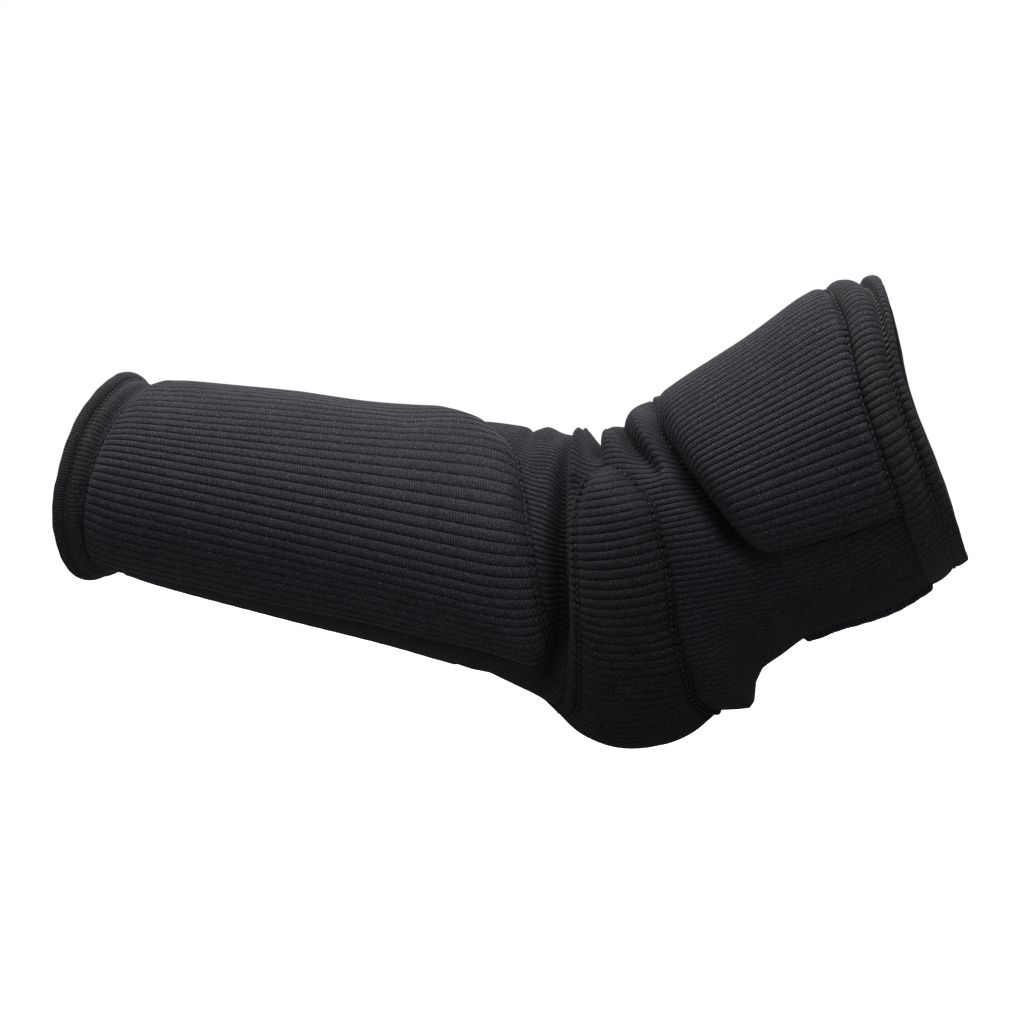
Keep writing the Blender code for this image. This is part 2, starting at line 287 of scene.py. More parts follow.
def form(s, phi):
    """Broad fullness of the sleeve, which the pads follow too."""
    near = near_angle(phi)
    hang = line(s, ELBOW_HANG) * np.exp(-((near + 90.0) / HANG_WIDTH) ** 2.2)
    shoulder = SHOULDER * bell(near, 56.0, 21.0)
    shoulder = shoulder * fade_in(s, -12.0, 24.0) * fade_in(s, UPPER_END - 1.0, -30.0)
    return hang + shoulder + curve(s, CROOK_FULLNESS) * bell(near, 90.0, CROOK_WIDTH)


FOLD_SKEW = 19.0  # the crook's folds run towards the wrist on the far side
SKEW_LIMIT = 0.35  # cosine of the angle past which they run straight again
DEEPEST = 26.0  # no sum of folds gets much deeper than this
FAR_WEAKENING = 0.5  # share by which the folds are shallower on the far side


def folds(s, phi):
    """Folds and soft waves of the knit between the pads."""
    near, angle = near_angle(phi), np.radians(phi)
    s = np.asarray(s, float)
    far = -np.cos(angle)
    skew = FOLD_SKEW * np.clip(far, 0.0, SKEW_LIMIT) * np.maximum(np.sin(angle), 0.0) ** 2
    total = sum(crease(s + skew, near, knots, width) for knots, width in FOLDS)
    total = np.where(total < 0.0, DEEPEST * np.tanh(total / DEEPEST), total)
    total = total * (1.0 - FAR_WEAKENING * fade_in(far, 0.25, 0.5))
    waves = 0.35 * np.sin(s / 5.3 + near / 23.0) + 0.25 * np.sin(s / 3.1 - near / 17.0)
    return total + waves * fade_in(s, -60.0, 30.0) * fade_in(s, 80.0, -20.0)


def relief(s, phi):
    """How far the plain knit stands off its even surface."""
    return form(s, phi) + folds(s, phi)


# ---------------- meshes

def grid_object(name, places, wrap, attributes):
    """A sheet of quads through a net of points; a wrapped one closes round its columns."""
    rows, columns = places.shape[:2]
    index = np.arange(rows * columns).reshape(rows, columns)
    if wrap:
        index = np.hstack([index, index[:, :1]])
    quads = np.stack([index[:-1, :-1], index[1:, :-1], index[1:, 1:], index[:-1, 1:]],
                     axis=-1).reshape(-1, 4)
    return mesh_object(name, places.reshape(-1, 3), quads, attributes)


def mesh_object(name, points, faces, attributes):
    """A smooth-shaded piece of quads, with one value of each attribute per point."""
    mesh = bpy.data.meshes.new(name)
    mesh.vertices.add(len(points))
    mesh.vertices.foreach_set("co", np.asarray(points, np.float32).ravel())
    mesh.loops.add(faces.size)
    mesh.loops.foreach_set("vertex_index", faces.astype(np.int32).ravel())
    mesh.polygons.add(len(faces))
    starts = np.arange(0, faces.size, faces.shape[1], dtype=np.int32)
    mesh.polygons.foreach_set("loop_start", starts)
    mesh.update(calc_edges=True)
    for key, values in attributes.items():
        layer = mesh.attributes.new(key, "FLOAT", "POINT")
        layer.data.foreach_set("value", np.asarray(values, np.float32).ravel())
    mesh.shade_smooth()
    obj = bpy.data.objects.new(name, mesh)
    bpy.context.scene.collection.objects.link(obj)
    return obj


def rib_columns(start, end, pitch):
    """Angles of the mesh columns over whole ribs, with each column's depth and place across."""
    count = max(1, round((end - start) / pitch))
    width = (end - start) / count
    phi = (start + width * (np.arange(count)[:, None] + RIB_OFFSETS)).ravel()
    depth = np.tile(RIB_DEPTHS, count)
    across = np.tile(RIB_OFFSETS * 2.0 - 1.0, count)
    return phi, depth, across


def closed_columns(start, end, pitch):
    """The same, with the groove that ends the last rib."""
    phi, depth, across = rib_columns(start, end, pitch)
    return np.append(phi, end), np.append(depth, 1.0), np.append(across, 1.0)


def knit_attributes(s, depth, across, painted_shade=0.0):
    """What the knit's material needs: place along and across a rib, depth in the groove between
    ribs, and how much painted shade a fold or a seam gets."""
    shape = np.broadcast_shapes(np.shape(s), np.shape(depth))
    return {"along": np.broadcast_to(s, shape), "groove": np.broadcast_to(depth, shape),
            "across": np.broadcast_to(across, shape), "painted_shade": np.broadcast_to(painted_shade, shape)}


# ---------------- plain knit

KNIT_PITCH = 2.7  # degrees per rib of the plain knit
KNIT_DEPTH = 0.46  # depth of the grooves between its ribs
PAINTED_SHADE_DEPTH = 8.0  # a fold this deep gets the full painted shade inside

# Degrees by which the ribs of the plain knit have turned, as they slant between the pads.
KNIT_DRIFT = ((-60.0, 19.0), (-38.0, 19.0), (-10.0, 10.0), (MEETING, 0.0), (40.0, -11.0),
              (66.0, -19.0), (90.0, -21.0))


def knit_drift(s, phi):
    return curve(s, KNIT_DRIFT) * np.cos(np.radians(phi))


def knit_height(s, phi):
    return KNIT_TOP + relief(s, phi)


def knit_length(name, stations):
    phi0, depth, across = rib_columns(-180.0, 180.0, KNIT_PITCH)
    s = stations[:, None] + 0.0 * phi0
    phi = phi0 + knit_drift(s, phi0)
    h = knit_height(s, phi) - KNIT_DEPTH * depth
    # painted shade: the knit darkens in its valleys, the deeper the darker
    painted_shade = fade_in(folds(s, phi), 0.0, -PAINTED_SHADE_DEPTH)
    return grid_object(name, place(s, phi, h), True, knit_attributes(s, depth, across, painted_shade))


def add_plain_knit():
    """The two lengths of plain knit, with close rows where the folds are."""
    forearm = knit_length("forearm_knit", np.concatenate(
        [spaced(-210.0, -70.0, 4.0)[:-1], spaced(-70.0, MEETING, 1.2)]))
    upper = knit_length("upper_arm_knit", np.concatenate(
        [spaced(MEETING, 80.0, 1.2)[:-1], spaced(80.0, 125.0, 2.5)]))
    return forearm, upper


def lining_length(name, start, end):
    """A length of the inner face: it follows the valleys of the knit but not its ridges."""
    phi = np.arange(-180.0, 180.0, 3.0)
    s = spaced(start, end, 3.0)[:, None] + 0.0 * phi
    h = LINING + np.minimum(relief(s, phi), 0.5)
    obj = grid_object(name, place(s, phi, h), True, knit_attributes(s, 0.0 * phi, 0.5))
    obj.data.flip_normals()
    return obj


# ---------------- pads

def capped(heights, crest):
    """Lowest of several rising edges, rounded where they meet, never over the crest."""
    power = 3.0
    total = sum((crest / np.maximum(h, 0.05)) ** power - 1.0 for h in heights) + 1.0
    return crest * total ** (-1.0 / power)


@dataclass
class Pad:
    """A pad's cover. Its ribs run along the sleeve from its low end (towards the wrist) to its high
    end, and are named by their angle at the middle station."""

    name: str
    phi_range: tuple           # angles of its two sides
    low: tuple                 # (angle, station) knots of the low end
    high: tuple                # the same for the high end
    slant: tuple               # (angle, degrees per millimetre) knots of the slant of its ribs
    pitch: float               # degrees per rib
    crest: float               # height of the full padding over the knit
    rises: tuple               # rise of the edges: low end, high end, first side, second side
    corner: float              # degrees from a side where the ends begin to draw in
    draws: tuple               # and how far the low and the high end draw in there
    step: float                # millimetres between the rows of its mesh
    seams: tuple               # how far the thread is inside the low end, high end and sides
    level: float = 0.0         # share by which the ribs are kept level where the padding thins
    point_rise: tuple = ()     # rise of the low end at the elbow point, where it isn't rolled

    @property
    def middle(self):
        return float(np.mean([line(0.0, self.low), line(0.0, self.high)]))

    def draw(self, phi, end):
        """How far an end draws in near a corner."""
        near = np.minimum(phi - self.phi_range[0], self.phi_range[1] - phi)
        t = np.clip(1.0 - near / self.corner, 0.0, 1.0)
        return self.draws[end] * (1.0 - half_round(t))

    def angle(self, phi, s):
        """Angle at a station of the rib that has the angle phi at the middle."""
        return phi + curve(phi, self.slant) * (s - self.middle)

    def end_station(self, phi, end):
        """Where a rib meets the low end (0) or the high end (1)."""
        knots = self.high if end else self.low
        s = line(phi, knots)
        for _ in range(3):
            s = line(self.angle(phi, s), knots)
        inward = -1.0 if end else 1.0
        return s + inward * self.draw(phi, end)

    def levelling(self, phi, thick):
        """Turn that keeps a rib level where the padding thins towards an end."""
        near = near_angle(phi)
        tilt = np.clip(np.tan(np.radians(np.clip(near, -75.0, 75.0))), -1.3, 0.4)
        tilt = tilt * fade_in(near, -90.0, 25.0)
        turn = (self.crest - thick) * tilt / MM_PER_DEGREE * self.level
        return np.where(np.cos(np.radians(phi)) > 0.0, turn, -turn)

    def net(self, phi, share):
        """Stations and angles of a net, and how far inside both ends each of its points is."""
        low, high = self.end_station(phi, 0), self.end_station(phi, 1)
        s = low + (high - low) * share[:, None]
        return s, self.angle(phi, s), s - low, high - s

    def thickness(self, phi, s, from_low, from_high):
        """Height over the plain knit, from how far a place is inside each edge."""
        first_side = (phi - self.phi_range[0]) * MM_PER_DEGREE + 0.0 * s
        second_side = (self.phi_range[1] - phi) * MM_PER_DEGREE + 0.0 * s
        insides = (from_low, from_high, first_side, second_side)
        heights = [curve(inside, rise) for inside, rise in zip(insides, self.rises)]
        if self.point_rise:
            rolled = fade_in(near_angle(phi), -90.0, 34.0)
            heights[0] = heights[0] * rolled + curve(from_low, self.point_rise) * (1.0 - rolled)
        return capped(heights, self.crest)


def mirrored(knots, sign=1.0):
    """Knots from the elbow point up the near side, with their mirror image on the far side."""
    return tuple((-180.0 - phi, sign * value) for phi, value in knots[:0:-1]) + knots


def pad_rows(length, step):
    """Shares of the length, close together near both ends."""
    near = np.array([0.0, 0.4, 0.8, 1.2, 1.6, 2.0, 2.5, 3.1, 3.8, 4.6, 5.6, 6.8, 8.2])
    middle = spaced(8.2, length - 8.2, step)[1:-1]
    return np.concatenate([near, middle, length - near[::-1]]) / length


# The rise of each kind of pad edge: (distance inside the edge, height over the knit). The small dip
# at about 1.7 mm is where the thread pulls the cover down.
SEWN_END = ((0.0, -0.6), (0.6, 1.1), (1.7, 0.9), (2.6, 1.9), (6.0, 5.2), (12.0, 7.8), (20.0, 8.8),
            (30.0, 9.0))
WRIST_SLOPE = ((0.0, -0.6), (0.6, 1.3), (1.7, 1.0), (2.8, 2.8), (8.0, 6.2), (16.0, 8.2),
               (26.0, 8.9), (40.0, 9.0))
SEWN_SIDE = ((0.0, -0.6), (0.7, 1.1), (1.7, 1.0), (3.0, 2.4), (7.0, 5.6), (13.0, 7.6), (22.0, 8.7),
             (34.0, 9.0))
ARCH_SIDE = ((0.0, -0.6), (0.7, 1.2), (1.7, 1.1), (3.0, 3.4), (5.0, 6.6), (8.0, 9.4),
             (14.0, 10.9), (24.0, 10.6))
ROLLED_EDGE = ((0.0, -0.6), (1.0, 1.3), (2.2, 3.0), (3.3, 3.2), (4.4, 2.2), (5.4, 3.2), (9.0, 7.0),
               (15.0, 9.6), (24.0, 10.6))
FLAT_EDGE = ((0.0, -0.6), (2.0, 0.8), (5.0, 2.8), (9.0, 6.2), (15.0, 9.2), (24.0, 10.6))
PUCKERED_EDGE = ((0.0, -0.6), (0.7, 1.5), (1.8, 1.2), (2.8, 2.4), (6.0, 5.6), (12.0, 9.0),
                 (20.0, 10.6))
DEEP_EDGE = ((0.0, -0.8), (0.6, 1.6), (1.4, 3.0), (3.0, 4.9), (6.0, 6.8), (11.0, 8.1), (18.0, 8.6))
CUFF_END = ((0.0, 4.6), (0.7, 7.0), (1.5, 6.8), (2.6, 7.8), (8.0, 8.6))

PADS = (
    Pad("forearm", phi_range=(-52.0, 105.0),
        low=((-60.0, -210.5), (0.0, -209.0), (50.0, -206.5), (90.0, -204.5), (105.0, -204.5)),
        high=((-50.0, -12.5), (-30.0, -12.0), (-10.0, -13.5), (12.0, -16.0), (36.0, -21.0),
              (56.0, -30.0), (72.0, -46.0), (80.0, -59.0), (90.0, -66.0), (105.0, -67.0)),
        slant=((-52.0, 0.07), (-30.0, 0.02), (0.0, -0.02), (15.0, -0.01), (48.0, 0.07),
               (80.0, 0.05), (105.0, 0.0)),
        pitch=4.2, crest=9.0, rises=(WRIST_SLOPE, SEWN_END, SEWN_SIDE, SEWN_SIDE),
        corner=14.0, draws=(4.0, 6.0), step=1.6, seams=(1.7, 1.7, 1.7)),
    Pad("elbow", phi_range=(-218.0, 38.0),
        low=((-220.0, 2.5), (-186.0, -2.0), (-164.0, -6.0), (-132.0, -12.0), (-112.0, -17.0),
             (-90.0, -23.0), (-68.0, -17.0), (-48.0, -12.0), (-16.0, -6.0), (6.0, -2.0),
             (40.0, 3.5)),
        high=mirrored(((-90.0, 24.5), (-56.0, 22.5), (-30.0, 27.0), (-8.0, 35.0), (12.0, 40.5),
                       (40.0, 39.5))),
        slant=mirrored(((-90.0, 0.0), (-60.0, -0.24), (-29.0, -0.36), (-15.0, -0.25),
                        (0.0, -0.17), (20.0, -0.15), (40.0, -0.14)), sign=-1.0),
        pitch=3.2, crest=10.6, rises=(ROLLED_EDGE, PUCKERED_EDGE, ARCH_SIDE, ARCH_SIDE),
        corner=30.0, draws=(17.0, 13.0), step=1.2, seams=(4.4, 1.8, 1.7), level=0.6,
        point_rise=FLAT_EDGE),
    Pad("upper_arm", phi_range=(-28.0, 105.0),
        low=((-32.0, 64.0), (-16.0, 61.5), (8.0, 57.5), (34.0, 54.0), (56.0, 51.5), (105.0, 51.0)),
        high=((-40.0, 125.0), (0.0, 127.0), (40.0, 127.6), (65.0, 125.4), (90.0, 120.8),
              (105.0, 120.4)),
        slant=((-28.0, -0.16), (-15.0, -0.13), (10.0, -0.09), (40.0, 0.0), (105.0, 0.0)),
        pitch=2.9, crest=8.6, rises=(DEEP_EDGE, CUFF_END, DEEP_EDGE, SEWN_SIDE),
        corner=12.0, draws=(7.0, 0.0), step=1.5, seams=(0.5, 1.0, 0.5)),
)
RIB_DEPTH = 0.52  # depth of the grooves between a cover's ribs


def knit_under_pad(pad, s, phi, inside):
    """Height the cover lies on: the folds of the knit fade out under the padding."""
    fade = 1.0 - 0.8 * fade_in(inside, 0.0, 14.0)
    return KNIT_TOP + form(s, phi) + folds(s, phi) * fade


PAD_START = 0.92  # share of a pad's height before its cover is blown up
SWELL_CAP = 1.7  # the most that a cover swells over that, in millimetres
SHEET_STEP = 3.0  # millimetres between the points of the simulated sheet
CLOTH_FRAMES = 20


def net_at(net, phi_range, phi, share):
    """Value of an even net at an angle and a share of the length, between its four corners."""
    rows, columns = net.shape
    u = np.clip(share, 0.0, 1.0) * (rows - 1)
    v = np.clip((phi - phi_range[0]) / (phi_range[1] - phi_range[0]), 0.0, 1.0) * (columns - 1)
    u, v = np.broadcast_arrays(u, v)
    i, k = np.minimum(u.astype(int), rows - 2), np.minimum(v.astype(int), columns - 2)
    u, v = u - i, v - k
    return ((net[i, k] * (1.0 - v) + net[i, k + 1] * v) * (1.0 - u)
            + (net[i + 1, k] * (1.0 - v) + net[i + 1, k + 1] * v) * u)


def blow_up(sheet, edge):
    """Cloth simulation of a sheet held at its edge, under pressure from the foam inside.
    Returns the moved points and removes the sheet."""
    scene = bpy.context.scene
    group = sheet.vertex_groups.new(name="sewn_edge")
    group.add([int(i) for i in np.flatnonzero(edge)], 1.0, "REPLACE")
    cloth = sheet.modifiers.new("cloth", "CLOTH")
    settings = cloth.settings
    settings.quality = 6
    settings.mass = 0.1
    settings.tension_stiffness = settings.compression_stiffness = 4.0
    settings.shear_stiffness = 2.0
    settings.bending_stiffness = 0.05
    settings.air_damping = 2.0
    settings.shrink_min = -0.02
    settings.use_pressure = True
    settings.uniform_pressure_force = 40.0
    settings.vertex_group_mass = group.name
    settings.effector_weights.gravity = 0.0
    cloth.point_cache.frame_start, cloth.point_cache.frame_end = 1, CLOTH_FRAMES
    for frame_number in range(1, CLOTH_FRAMES + 1):
        scene.frame_set(frame_number)
    moved = np.empty(len(sheet.data.vertices) * 3, np.float32)
    result = sheet.evaluated_get(bpy.context.evaluated_depsgraph_get())
    result.data.vertices.foreach_get("co", moved)
    mesh = sheet.data
    bpy.data.objects.remove(sheet)
    bpy.data.meshes.remove(mesh)
    scene.frame_set(1)
    return moved.reshape(-1, 3).astype(float)


def swelling(pad):
    """How far a pad's cover swells off its starting shape, in millimetres, on an even net."""
    width = (pad.phi_range[1] - pad.phi_range[0]) * MM_PER_DEGREE
    length = pad.end_station(0.0, 1) - pad.end_station(0.0, 0)
    phi0 = np.linspace(*pad.phi_range, int(width / SHEET_STEP) + 1)
    share = np.linspace(0.0, 1.0, int(length / SHEET_STEP) + 1)
    s, phi, from_low, from_high = pad.net(phi0, share)
    thick = pad.thickness(phi0, s, from_low, from_high)
    base = knit_under_pad(pad, s, phi, np.minimum(from_low, from_high))
    points = place(s, phi, base + PAD_START * thick)
    outward = unit(place(s, phi, base + PAD_START * thick + 1.0) - points)
    edge = np.zeros(thick.shape, bool)
    edge[[0, -1]] = edge[:, [0, -1]] = True
    sheet = grid_object(f"{pad.name}_pad_sheet", points, False, {})
    moved = blow_up(sheet, edge.ravel()).reshape(points.shape)
    swell = ((moved - points) * outward).sum(axis=-1) / MM
    return SWELL_CAP * (1.0 - np.exp(-np.maximum(swell, 0.0) / (1.4 * SWELL_CAP)))


def padding(pad, swell, phi, s, from_low, from_high):
    """Height of the blown-up cover over the knit under it."""
    start = PAD_START * pad.thickness(phi, s, from_low, from_high)
    return start + net_at(swell, pad.phi_range, phi, from_low / (from_low + from_high))


def pad_cover(pad, swell):
    """The ribbed cover, puckered along its edges."""
    phi0, depth, across = closed_columns(*pad.phi_range, pad.pitch)
    length = float(np.max(pad.end_station(phi0, 1) - pad.end_station(phi0, 0)))
    s, phi, from_low, from_high = pad.net(phi0, pad_rows(length, pad.step))
    thick = padding(pad, swell, phi0, s, from_low, from_high)
    inside = np.minimum(from_low, from_high)
    phi = phi + pad.levelling(phi, thick)
    pucker = 0.34 * np.sin(s * 0.9 + phi0 * 1.9) * bell(inside, 0.0, 2.8)
    h = knit_under_pad(pad, s, phi, inside) + thick + pucker - RIB_DEPTH * depth
    sewn = np.minimum(np.abs(from_low - pad.seams[0]), np.abs(from_high - pad.seams[1]))
    # painted shade along the row of thread and at the cover's edges
    painted_shade = np.maximum(bell(sewn, 0.0, 0.9), bell(inside, 0.0, 0.7))
    return grid_object(f"{pad.name}_pad_knit", place(s, phi, h), False,
                       knit_attributes(s, depth, across, painted_shade))


def pad_path(pad, swell, samples=400):
    """The line of a cover's sewn seam, once round, as (s, phi, h)."""
    low_inset, high_inset, side_inset = pad.seams
    turn = side_inset / MM_PER_DEGREE
    across = np.linspace(pad.phi_range[0] + turn, pad.phi_range[1] - turn, samples)
    low, high = pad.end_station(across, 0) + low_inset, pad.end_station(across, 1) - high_inset
    first_side, second_side = (np.linspace(low[k], high[k], samples) for k in (0, -1))
    s = np.concatenate([low, second_side, high[::-1], first_side[::-1]])
    phi0 = np.concatenate([across, np.full(samples, across[-1]), across[::-1],
                           np.full(samples, across[0])])
    from_low, from_high = s - pad.end_station(phi0, 0), pad.end_station(phi0, 1) - s
    thick = padding(pad, swell, phi0, s, from_low, from_high)
    phi = pad.angle(phi0, s)
    phi = phi + pad.levelling(phi, thick)
    return s, phi, knit_under_pad(pad, s, phi, np.minimum(from_low, from_high)) + thick


# ---------------- cuffs

def wander(phi):
    """Small unevenness of a hand-fed hem, in millimetres along the arm."""
    angle = np.radians(phi)
    return (0.16 * np.sin(7.0 * angle + 0.6) + 0.08 * np.sin(17.0 * angle)
            + 0.07 * np.sin(31.0 * angle))


CUFF_SLANT = ((-90.0, 1.5), (-40.0, 2.0), (0.0, 4.0), (40.0, 4.6), (65.0, 2.4), (90.0, -2.2))
CUFF_FULLNESS = ((-90.0, 0.3), (-60.0, 0.4), (-36.0, 0.75), (-22.0, 1.1), (20.0, 1.25),
                 (50.0, 1.35), (90.0, 1.5))
OUTER_FACE = 0.8  # height from which a cuff's profile is its outer face


def cuff_slant(s, phi):
    """The upper cuff's seams don't run parallel to its rim; they turn towards it on both sides."""
    return curve(near_angle(phi), CUFF_SLANT) * fade_in(s, 145.0, -11.0)


def ring(name, profile, pitch, depth, full=False):
    """A closed (s, h) profile carried round the sleeve, with ribs across it. The outer face of a
    full one stands out by a share that changes around the sleeve."""
    phi, rib, across = rib_columns(-180.0, 180.0, pitch)
    profile = np.vstack([profile, profile[:1]])
    s, height = profile[:, :1] + 0.0 * phi, profile[:, 1:]
    outer = height > OUTER_FACE
    h = height - outer * depth * rib
    s = s + wander(phi) * smoothstep(height - OUTER_FACE)
    if full:
        h = h * np.where(outer, curve(near_angle(phi), CUFF_FULLNESS), 1.0)
        s = s + cuff_slant(s, phi)
    along = reaches(profile)[:, None] + 0.0 * phi
    return grid_object(name, place(s, phi, h), True, knit_attributes(along, rib, across))


def resampled(profile, step):
    """A (s, h) profile smoothed and cut into even steps."""
    profile = np.array(profile, float)
    reach = reaches(profile)
    spots = np.linspace(0.0, reach[-1], int(reach[-1] / step) + 1)
    return np.stack([curve(spots, np.stack([reach, profile[:, k]], axis=1)) for k in (0, 1)],
                    axis=1)


WRIST_PROFILE = (
    (-215.6, 0.4), (-215.6, 2.6), (-214.4, 3.0), (-212.4, 3.5), (-210.6, 3.1), (-209.4, 2.2),
    (-208.2, 1.5), (-206.0, 1.0), (-205.0, 0.4), (-209.0, -0.3), (-215.0, -0.1))
BINDING_PROFILE = (
    (-215.2, 3.0), (-216.0, 4.3), (-217.6, 4.9), (-219.3, 4.5), (-220.3, 3.0), (-220.5, 1.2),
    (-219.6, -0.4), (-217.5, -0.9), (-215.4, -0.6), (-214.6, 0.6), (-214.8, 2.0))
# The upper cuff: a full roll, the dip of its row of thread, and a thinner rim.
UPPER_PROFILE = (
    (121.8, 0.2), (122.0, 3.6), (123.2, 5.4), (126.8, 6.6), (130.2, 6.0), (132.8, 4.0),
    (134.6, 1.1), (135.8, 2.0), (137.6, 3.3), (139.6, 3.2), (141.4, 2.4), (142.4, 1.3),
    (141.6, 0.8), (140.4, -0.6), (137.0, -1.0), (130.0, -0.7), (123.0, -0.3))


def add_cuffs():
    wrist = ring("wrist_cuff", resampled(WRIST_PROFILE, 0.7), pitch=2.6, depth=0.3)
    rim = ring("wrist_binding_band", resampled(BINDING_PROFILE, 0.6), pitch=1.5, depth=0.28)
    upper = ring("upper_cuff", resampled(UPPER_PROFILE, 0.7), pitch=3.1, depth=0.42, full=True)
    return wrist, rim, upper


# ---------------- threads

def stitches(name, points, normals, length, gap, radius, tilt=0.0):
    """A row of sewn stitches along a path: short arched threads whose ends sink into the cloth.
    Tilt is how far their ends lie off the path."""
    reach = reaches(points)
    count = int(reach[-1] / (length + gap))
    centres = (np.arange(count) + 0.5) * reach[-1] / count
    rings = sides = 6
    t = np.linspace(-1.0, 1.0, rings)
    turn = np.linspace(0.0, 2.0 * math.pi, sides, endpoint=False)
    at = centres[:, None] + t * length / 2.0
    core = np.stack([np.interp(at, reach, points[:, k]) for k in range(3)], axis=-1)
    up = unit(np.stack([np.interp(at, reach, normals[:, k]) for k in range(3)], axis=-1))
    ahead = unit(core[:, -1:] - core[:, :1])
    side = unit(np.cross(ahead, up))
    core = core + side * (t * tilt)[None, :, None]
    core = core + up * (radius * (0.55 - 1.25 * t ** 4))[None, :, None]
    thick = radius * np.sqrt(1.0 - 0.75 * t ** 4)
    ring_points = (core[:, :, None]
                   + side[:, :, None] * (np.cos(turn) * thick[:, None])[None, :, :, None]
                   + up[:, :, None] * (np.sin(turn) * thick[:, None])[None, :, :, None])

    first = np.arange(count) * rings * sides
    r, c = np.arange(rings - 1)[:, None], np.arange(sides)
    d = (c + 1) % sides
    quads = np.stack([r * sides + c, r * sides + d, (r + 1) * sides + d, (r + 1) * sides + c],
                     axis=-1).reshape(-1, 4)
    start_cap = np.array([[3, 2, 1, 0], [5, 4, 3, 0]])
    end_cap = (rings - 1) * sides + np.array([[0, 1, 2, 3], [0, 3, 4, 5]])
    one = np.vstack([quads, start_cap, end_cap])
    faces = (first[:, None, None] + one).reshape(-1, 4)
    return mesh_object(name, ring_points.reshape(-1, 3), faces, {})


def path_of(s, phi, h):
    """Points of a path in sleeve coordinates, and the direction out of the cloth at each."""
    points = place(s, phi, h)
    return points, unit(place(s, phi, np.asarray(h) + 1.0) - points)


def ring_path(s, h, full=False, samples=720):
    """A path round a cuff that was made by ring()."""
    phi = np.linspace(-180.0, 180.0, samples)
    slant, share = 0.0, 1.0 + 0.0 * phi
    if full:
        slant, share = cuff_slant(s, phi), curve(near_angle(phi), CUFF_FULLNESS)
    return path_of(s + wander(phi) + slant, phi, h * share)


SEAM_ANGLE = -87.0  # both overlocked seams run along the elbow point's side
SEAM_HALF = 3.2  # half their width, in degrees
SEAM_SUNK = 0.4  # how deep their foot lies in the knit
THREAD_SUNK = 0.08  # how deep the binding thread lies in the roll
THREAD_PITCH = 1.9  # millimetres along the seam from thread to thread
THREAD_SLANT = 0.9  # how far a thread runs ahead, to either side of the middle


def seam_height(s, phi, across, crest):
    return knit_height(s, phi) - SEAM_SUNK + crest * half_round(across)


def add_seam(name, start, end, crest):
    """An overlocked seam: a flattened roll with tapered ends, bound by slanting thread."""
    across = np.linspace(-1.0, 1.0, 13)
    s = spaced(start, end, 0.8)[:, None] + 0.0 * across
    phi = SEAM_ANGLE + SEAM_HALF * across + 0.0 * s
    taper = fade_in(s, start, 1.2) * fade_in(s, end, -1.2)
    wave = 1.0 + 0.03 * np.sin(s / 1.25)
    h = seam_height(s, phi, across, crest * taper * wave)
    roll = grid_object(name, place(s, phi, h), False,
                       knit_attributes(s, 0.0 * across, np.abs(across)))
    threads = []
    u = np.linspace(-1.0, 1.0, 9)
    angle = SEAM_ANGLE + SEAM_HALF * u
    for k in range(1, int((end - start) / THREAD_PITCH)):
        station = start + THREAD_PITCH * k + THREAD_SLANT * u
        height = seam_height(station, angle, u, crest) - THREAD_SUNK
        threads.append(path_of(station, angle, height))
    return roll, cord_set(name + "_stitches", threads, 0.17 * MM)


def cord_set(name, paths, radius, sides=5):
    """Round cords along several paths, in one mesh."""
    points, faces, first = [], [], 0
    turn = np.linspace(0.0, 2.0 * math.pi, sides, endpoint=False)
    for core, up in paths:
        ahead = unit(np.gradient(core, axis=0))
        side = unit(np.cross(ahead, up))
        lift = np.cross(side, ahead)
        rows = (core[:, None] + side[:, None] * (np.cos(turn) * radius)[None, :, None]
                + lift[:, None] * (np.sin(turn) * radius)[None, :, None])
        index = first + np.arange(len(core) * sides).reshape(-1, sides)
        around = np.roll(index, -1, axis=1)
        quads = np.stack([index[:-1], around[:-1], around[1:], index[1:]], axis=-1)
        faces.append(quads.reshape(-1, 4))
        points.append(rows.reshape(-1, 3))
        first += index.size
    return mesh_object(name, np.vstack(points), np.vstack(faces), {})


# ---------------- materials

